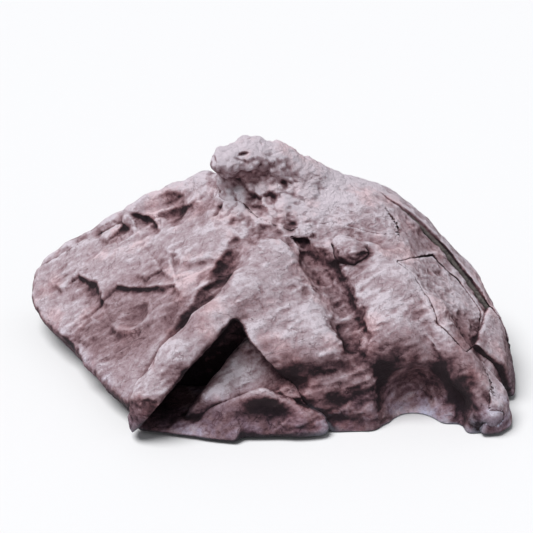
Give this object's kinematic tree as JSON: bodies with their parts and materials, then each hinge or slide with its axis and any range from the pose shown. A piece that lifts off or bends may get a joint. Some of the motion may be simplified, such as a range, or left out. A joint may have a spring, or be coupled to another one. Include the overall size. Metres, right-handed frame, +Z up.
{
  "type": "resin cave ornament",
  "caption": "Hollow cast-resin rock with a hooded cave mouth, an overhanging crest and a lift-off flank slab, for a pond or aquarium.",
  "frame": {"origin": "on the ground plane, under the middle of the rock", "axes": "+Z up, -Y towards the front with the cave mouth, +X towards the flank with the lift-off hatch"},
  "size_m": [0.4483, 0.2499, 0.209],
  "materials": {
    "stone_front": "rough cast resin, lilac-grey washed over rust brown",
    "stone_rear": "rough cast resin, plainer and a little darker",
    "stone_crest": "pitted cast resin, pale on the knobs and brown in the pits",
    "stone_hatch": "rough cast resin, streaked",
    "stone_small": "rough cast resin",
    "stone_cave": "rough cast resin, dark maroon brown",
    "peg_plastic": "moulded nylon",
    "pin_steel": "stainless rod",
    "ring_resin": "glass-filled resin, as laid up",
    "pad_rubber": "moulded rubber",
    "fastener_steel": "stainless steel"
  },
  "bodies": {
    "shell": {"front_shell": "stone_front", "rear_shell": "stone_rear", "crest_crag": "stone_crest", "wedge_slab": "stone_small", "foot_slab": "stone_small", "boss_stone": "stone_small", "cave_apron": "stone_cave", "sill_rock": "stone_cave", "bond_pins": "pin_steel", "base_ring": "ring_resin", "foot_pads": "pad_rubber", "pad_screws": "fastener_steel", "pad_nuts": "fastener_steel", "seam_bolts": "fastener_steel", "seam_washers": "fastener_steel", "seam_nuts": "fastener_steel"},
    "hatch": {"flank_hatch": "stone_hatch", "hatch_pegs": "peg_plastic"}
  },
  "joints": [
    {"name": "hatch_lift", "type": "slide", "parent": "shell", "child": "hatch", "axis": [0.6288, -0.2289, 0.7431], "range_m": [0, 0.12]}
  ]
}
